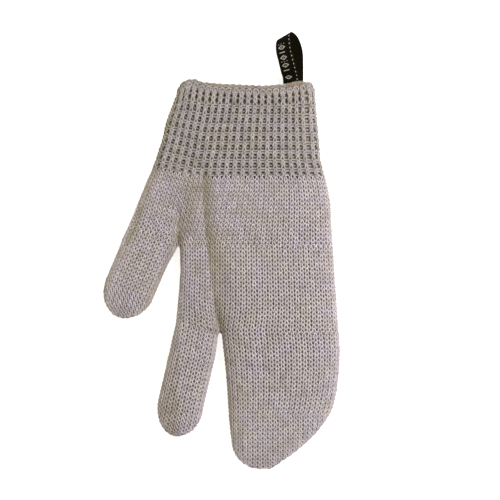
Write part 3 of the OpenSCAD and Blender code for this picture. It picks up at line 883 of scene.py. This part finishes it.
# The hang loop: one tape from a tail inside the front of the cuff, over the fold, to a tail inside the back.
# Its middle line runs through these points, and it lies across in these directions.
HALF_TAPE, HALF_TAPE_THICK, TAIL_Y, HINGE_Y = 4.0, 0.35, 70.0, 86.8
TAPE_PATH = np.array([
    (35.6, TAIL_Y, 6.2), (35.2, 78, 6.4), (34.9, 84, 6), (34.6, 87.4, 6.2), (33.7, 90, 8), (32.4, 95, 9.6),
    (31.2, 100, 9.5), (30.9, 105.1, 8.2), (31.9, 107.9, 5.2), (34.8, 106.1, 2.4), (36.8, 101, 1),
    (37.2, 95, 0.7), (37.2, 91, 1.5), (37.1, 87.4, 3.9), (37.1, 84, 4.5), (37.1, 78, 4.4),
    (37.1, TAIL_Y, 4.4)])
TAPE_ACROSS = np.array([
    (1, 0, 0), (1, 0.05, 0), (1, 0.1, 0), (1, 0.12, 0), (0.97, 0.24, 0), (0.97, 0.25, 0), (0.96, 0.27, 0),
    (0.92, 0.38, 0), (0.86, 0.51, 0), (0.93, 0.36, 0), (1, 0.1, 0), *6 * [(1, 0, 0)]])


def spline(points, steps):
    """A smooth line through the points."""
    padded = np.concatenate([[2 * points[0] - points[1]], points, [2 * points[-1] - points[-2]]])
    t = np.linspace(0, len(points) - 1, steps)
    i = np.minimum(t.astype(int), len(points) - 2)
    f = (t - i)[:, None]
    a, b, c, d = padded[i], padded[i + 1], padded[i + 2], padded[i + 3]
    bent = (2 * a - 5 * b + 4 * c - d) * f ** 2 + (3 * b - a - 3 * c + d) * f ** 3
    return 0.5 * (2 * b + (c - a) * f + bent)


STEPS = 260
tape_line = spline(TAPE_PATH, STEPS)
tape_way = np.gradient(tape_line, axis=0)
tape_way /= np.linalg.norm(tape_way, axis=1, keepdims=True)
tape_side = spline(TAPE_ACROSS, STEPS)
tape_side /= np.linalg.norm(tape_side, axis=1, keepdims=True)
tape_face = np.cross(tape_side, tape_way)
tape_run = np.concatenate([[0], np.cumsum(np.linalg.norm(np.diff(tape_line, axis=0), axis=1))])


def on_tape(run, across, height):
    """A point and its outward direction at a distance along the tape."""
    def pick(table):
        return np.stack([np.interp(run, tape_run, table[:, k]) for k in range(3)], -1)
    face = pick(tape_face)
    return pick(tape_line) + pick(tape_side) * across[..., None] + face * height[..., None], face


yarns = Yarns()
edge = np.radians(np.linspace(90, -90, 7))
edge_x = HALF_TAPE_THICK * np.cos(edge)[1:-1]
edge_z = HALF_TAPE_THICK * np.sin(edge)[1:-1]
flat = np.linspace(-HALF_TAPE + 0.4, HALF_TAPE - 0.4, 17)
flat_z = np.full(len(flat), HALF_TAPE_THICK)
profile_x = np.concatenate([flat, HALF_TAPE - HALF_TAPE_THICK + edge_x,
                            -flat, -HALF_TAPE + HALF_TAPE_THICK - edge_x])
profile_z = np.concatenate([flat_z, edge_z, -flat_z, -edge_z])
rows = []
for run in tape_run:
    ridge = 0.03 * np.sin(run * 2 * math.pi / 0.9)
    p, _ = on_tape(np.full(len(profile_x), run), profile_x, profile_z + ridge * np.sign(profile_z))
    rows.append(p)


def closing(row):
    """A row shut to a point, which closes the tape's end."""
    return np.repeat(row.mean(0)[None], len(row), 0)


yarns.grid(np.array([closing(rows[0]), *rows, closing(rows[-1])]), 0)
u = np.concatenate([[0], tape_run, [tape_run[-1]]])
yarns.uvs[0] = np.stack([np.repeat(u, len(profile_x)), np.tile(profile_x, len(u))], -1)
tape = yarns.build("hang_loop_tape", [TAPE])
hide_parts("hang_loop", "loop_tails")
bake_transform(tape)

# Pale stitches along one edge of the tape, and pale figures down its middle
yarns = Yarns()
loop_start = np.interp(85.5, tape_line[:80, 1], tape_run[:80])
for run in np.arange(loop_start, tape_run[-1] - 17, 2.0):
    t = np.linspace(run, run + 0.8, 6)
    p, n = on_tape(t, np.full(6, HALF_TAPE - 0.9), 0.36 + 0.16 * np.sin(np.linspace(0, math.pi, 6)))
    yarns.tube(p, n, 0.23 * np.array([0.5, 0.9, 1, 1, 0.9, 0.5]), np.full(6, rng.normal()), closed=False)
edge_stitches = yarns.build("hang_loop_edge_stitches", [PALE])
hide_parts("loop_edge_stitches")
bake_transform(edge_stitches)
yarns = Yarns()
# The strokes of each figure, as (along, across) the tape.
DIAMOND = [[(-1, 0), (0, 1), (1, 0)], [(-1, 0), (0, -1), (1, 0)], [(-0.15, 0), (0.15, 0)]]
DOTS = [[(-0.15, -0.9), (0.15, -0.9)], [(-0.15, -0.1), (0.15, -0.1)], [(-0.15, 0.8), (0.15, 0.8)]]
BAR = [[(0, -0.9), (0, 0.9)]]
FIGURES = ((1.9, DIAMOND), (6.0, BAR), (8.6, DIAMOND), (10.5, DOTS), (12.4, DIAMOND), (15.0, BAR),
           (17.6, DIAMOND), (19.4, DOTS))
for place, figure in FIGURES:
    for stroke in figure:
        stroke = np.array(stroke, float)
        steps = np.linspace(0, len(stroke) - 1, 5 * (len(stroke) - 1) + 1)
        along_it = np.interp(steps, range(len(stroke)), stroke[:, 0])
        across_it = np.interp(steps, range(len(stroke)), stroke[:, 1])
        run = loop_start + place + 0.95 * along_it
        p, n = on_tape(run, -1.0 + 1.6 * across_it, np.full(len(steps), 0.38))
        yarns.tube(p, n, 0.25, np.full(len(steps), rng.normal()), closed=False)
motifs = yarns.build("hang_loop_woven_figures", [PALE])
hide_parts("loop_motifs")
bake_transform(motifs)

# Tan thread that sews the loop to the rim
yarns = Yarns()
turn = np.radians(np.linspace(-30, 210, 12))
rim_ring = rim.rings(0.0)[1]
for x in np.arange(33.2, 41.0, 0.62):
    base = rim_ring.at(rim_ring.arc_at_x(x, True))
    p = np.stack([np.full(12, base[0]) + rng.normal(0, 0.15) + 0.3 * np.linspace(-1, 1, 12),
                  base[1] - 0.2 + 1.75 * np.sin(turn), base[2] - 1.1 + 1.9 * np.cos(turn)], -1)
    n = np.stack([np.zeros(12), np.sin(turn), np.cos(turn)], -1)
    yarns.tube(p, n, 0.36, np.full(12, rng.normal()), closed=False)
tack = yarns.build("hang_loop_tan_stitches", [TACK_YARN])
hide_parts("loop_tack")
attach(tack, "cuff")

# Floor, light and camera
floor_mesh = bpy.data.meshes.new("floor")
SWEEP = ((2.2, 0), (2.6, 0.06), (2.85, 0.25), (3.0, 0.6), (3.05, 1.1))  # radius and height, in metres
SWEEP_SIDES = 48
turns = np.arange(SWEEP_SIDES) * 2 * math.pi / SWEEP_SIDES
floor_points = [(0, 0, 0)] + [(r * math.cos(a), r * math.sin(a), z) for r, z in SWEEP for a in turns]
floor_faces = [(0, 1 + k, 1 + (k + 1) % SWEEP_SIDES) for k in range(SWEEP_SIDES)]
for i in range(len(SWEEP) - 1):
    low, high = 1 + SWEEP_SIDES * i, 1 + SWEEP_SIDES * (i + 1)
    for k in range(SWEEP_SIDES):
        following = (k + 1) % SWEEP_SIDES
        floor_faces.append((low + k, high + k, high + following, low + following))
floor_mesh.from_pydata(floor_points, [], floor_faces)
floor_mesh.polygons.foreach_set("use_smooth", [True] * len(floor_faces))
floor = bpy.data.objects.new("floor", floor_mesh)
bpy.context.scene.collection.objects.link(floor)
material, nodes, links, shader = new_material("pale_floor")
shader.inputs["Base Color"].default_value = (0.93, 0.93, 0.93, 1)
shader.inputs["Emission Color"].default_value = (1, 1, 1, 1)
shader.inputs["Emission Strength"].default_value = 0.7
shader.inputs["Roughness"].default_value = 0.9
shader.inputs["Specular IOR Level"].default_value = 0.1
floor_mesh.materials.append(material)


def area_light(name, place, size, power, colour):
    """A round light that points at the middle of the floor."""
    light = bpy.data.lights.new(name, "AREA")
    light.shape = "DISK"
    light.size = size
    light.energy = power
    light.color = colour
    obj = bpy.data.objects.new(name, light)
    bpy.context.scene.collection.objects.link(obj)
    obj.location = place
    direction = -np.array(place)
    obj.rotation_euler = (math.atan2(math.hypot(direction[0], direction[1]), -direction[2]), 0,
                          math.atan2(-direction[0], direction[1]))


area_light("key", (0.6, 0.3, 0.88), 0.6, 11.7, (1.0, 0.965, 1.05))
area_light("fill", (-0.6, 0.1, 1.0), 1.6, 3.5, (1.0, 0.94, 0.66))
world = bpy.data.worlds.new("studio")
world.use_nodes = True
world.node_tree.nodes["Background"].inputs["Color"].default_value = (1, 1, 1, 1)
world.node_tree.nodes["Background"].inputs["Strength"].default_value = 0.19
bpy.context.scene.world = world
bpy.context.scene.view_settings.view_transform = "Standard"

camera_data = bpy.data.cameras.new("camera")
camera = bpy.data.objects.new("camera", camera_data)
bpy.context.scene.collection.objects.link(camera)
camera_data.lens = 100
camera_data.sensor_width = 36
VIEW_WIDTH = 250.0  # millimetres across the picture
VIEW_CENTRE = (14.25, 0.5, 8)
distance = VIEW_WIDTH * camera_data.lens / camera_data.sensor_width
camera.location = (VIEW_CENTRE[0] * MM, VIEW_CENTRE[1] * MM, (VIEW_CENTRE[2] + distance) * MM)
camera_data.clip_start = 0.01
bpy.context.scene.camera = camera
